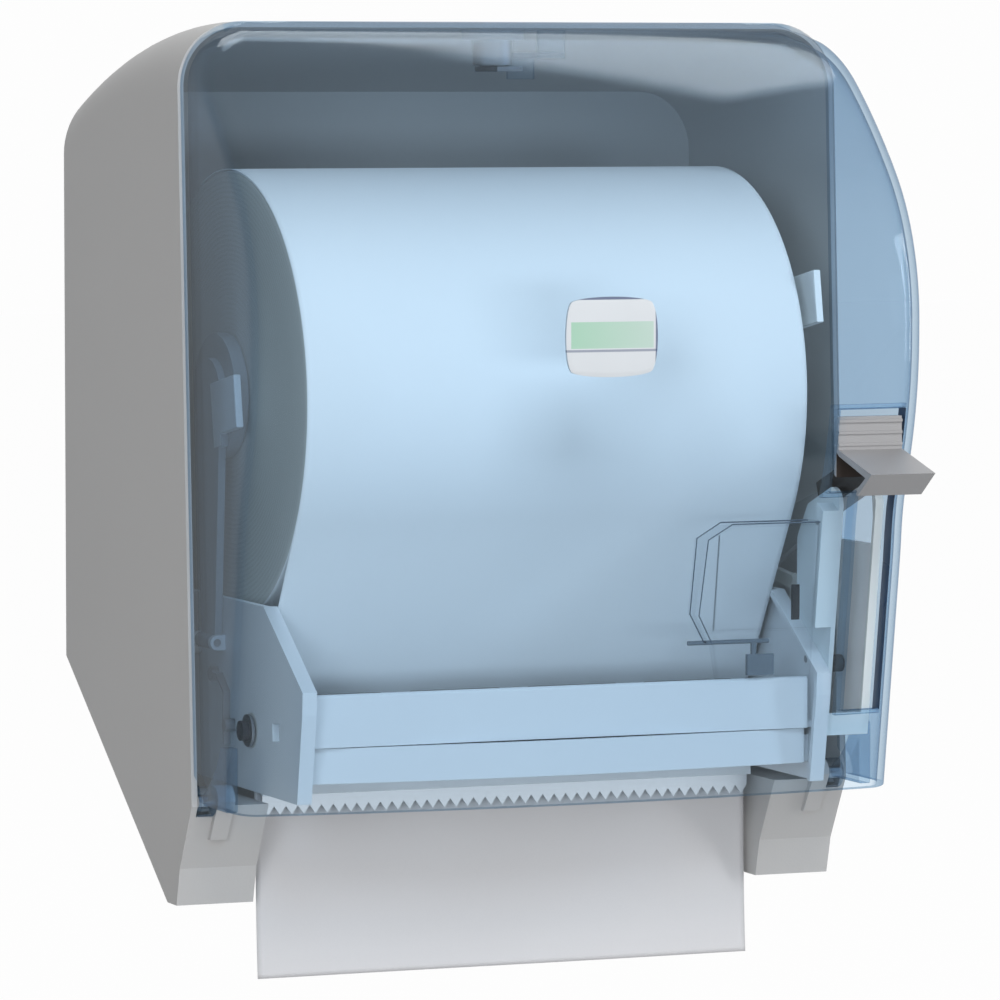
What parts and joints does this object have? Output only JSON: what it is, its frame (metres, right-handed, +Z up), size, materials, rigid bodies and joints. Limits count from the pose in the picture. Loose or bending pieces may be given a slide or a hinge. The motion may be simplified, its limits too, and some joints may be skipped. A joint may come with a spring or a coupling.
{
  "type": "lever paper towel dispenser",
  "caption": "Wall dispenser for a paper towel roll: moulded back, hinged tinted cover, and a push lever whose toothed quadrant turns a feed roller above a serrated blade.",
  "frame": {"origin": "centre of the four wall-screw holes, on the back face that lies on the wall", "axes": "+Z up, -Y out of the wall towards the user, +X to the viewer's right"},
  "size_m": [0.282, 0.262, 0.379],
  "materials": {
    "housing_grey": "moulded ABS, fine spark texture",
    "cover_tint": "clear tinted styrene, gloss",
    "guard_clear": "clear moulded plastic",
    "badge_white": "smooth moulded badge",
    "steel": "plain plated steel",
    "chassis_pale": "moulded plastic, satin",
    "blade_steel": "stamped stainless steel",
    "shaft_dark": "glass-filled nylon",
    "grip_rubber": "ground rubber",
    "bearing": "acetal, satin",
    "gear_plastic": "acetal, satin",
    "lever_grey": "moulded ABS, satin",
    "case_pale": "moulded plastic, satin",
    "tab_white": "moulded plastic, satin",
    "hub_plastic": "moulded plastic, satin",
    "core_card": "spiral-wound board",
    "towel_paper": "embossed crepe towel"
  },
  "bodies": {
    "chassis": {"arm_pin": "steel", "arm_screw": "steel", "case_cover": "case_pale", "case_screws": "steel", "chassis_screws": "steel", "cross_member": "chassis_pale", "guard_latch": "shaft_dark", "guard_stop": "grip_rubber", "hinge_pin_left": "steel", "hinge_pin_right": "steel", "left_bush": "bearing", "left_pressure_spring": "steel", "left_side_plate": "chassis_pale", "lever_buffer": "grip_rubber", "lever_case": "case_pale", "lever_pin": "steel", "lever_spring": "steel", "lock_barrel": "steel", "paper_lip": "chassis_pale", "rear_guide": "chassis_pale", "rear_housing": "housing_grey", "right_bush": "bearing", "right_core_hub": "hub_plastic", "right_pressure_spring": "steel", "right_roll_arm": "tab_white", "right_side_plate": "chassis_pale", "roll_guard": "guard_clear", "tear_bar": "blade_steel", "towel_web": "towel_paper"},
    "cover": {"front_cover": "cover_tint", "cover_strike": "cover_tint", "badge": "badge_white"},
    "lock": {"lock_plug": "steel", "lock_cam": "steel"},
    "lever": {"lever": "lever_grey", "sector_gear": "gear_plastic", "lever_bush": "bearing"},
    "feed_roller": {"feed_shaft": "shaft_dark", "feed_grips": "grip_rubber", "roller_gear": "gear_plastic", "shaft_clip": "steel"},
    "pressure_roller": {"pressure_shaft": "steel", "pressure_rollers": "bearing"},
    "left_arm": {"left_roll_arm": "tab_white", "left_core_hub": "hub_plastic"},
    "roll": {"towel_roll": "towel_paper", "roll_core": "core_card"},
    "tail": {"towel_tail": "towel_paper"}
  },
  "joints": [
    {"name": "cover_hinge", "type": "hinge", "parent": "chassis", "child": "cover", "pos_m": [0, -0.156, -0.148], "axis": [1, 0, 0], "range_deg": [0, 85]},
    {"name": "lock_turn", "type": "hinge", "parent": "chassis", "child": "lock", "pos_m": [0, -0.122, 0.13879], "axis": [0, 0, 1], "range_deg": [0, 90]},
    {"name": "lever_pivot", "type": "hinge", "parent": "chassis", "child": "lever", "pos_m": [0, -0.10427, -0.06241], "axis": [1, 0, 0], "range_deg": [0, 40], "stiffness_Nm_per_rad": 0.4, "springref_deg": -20.05},
    {"name": "feed_roller_spin", "type": "hinge", "parent": "chassis", "child": "feed_roller", "pos_m": [0, -0.146, -0.122], "axis": [1, 0, 0], "continuous": true},
    {"name": "pressure_roller_spin", "type": "hinge", "parent": "chassis", "child": "pressure_roller", "pos_m": [0, -0.1243, -0.122], "axis": [1, 0, 0], "continuous": true},
    {"name": "roll_spin", "type": "hinge", "parent": "chassis", "child": "roll", "pos_m": [0, -0.104, 0.008], "axis": [1, 0, 0], "continuous": true},
    {"name": "towel_feed", "type": "slide", "parent": "chassis", "child": "tail", "axis": [0, 0, -1], "range_m": [0, 0.0464]},
    {"name": "left_arm_swing", "type": "hinge", "parent": "chassis", "child": "left_arm", "pos_m": [-0.1153, -0.104, -0.09], "axis": [0, -1, 0], "range_deg": [0, 7], "stiffness_Nm_per_rad": 2, "springref_deg": -2.86}
  ],
  "couplings": [
    {"joint": "feed_roller_spin", "follows": "lever_pivot", "ratio": -5.0625},
    {"joint": "pressure_roller_spin", "follows": "lever_pivot", "ratio": 8.2266},
    {"joint": "roll_spin", "follows": "lever_pivot", "ratio": 0.73534},
    {"joint": "towel_feed", "follows": "lever_pivot", "m_per_rad": 0.065812}
  ]
}
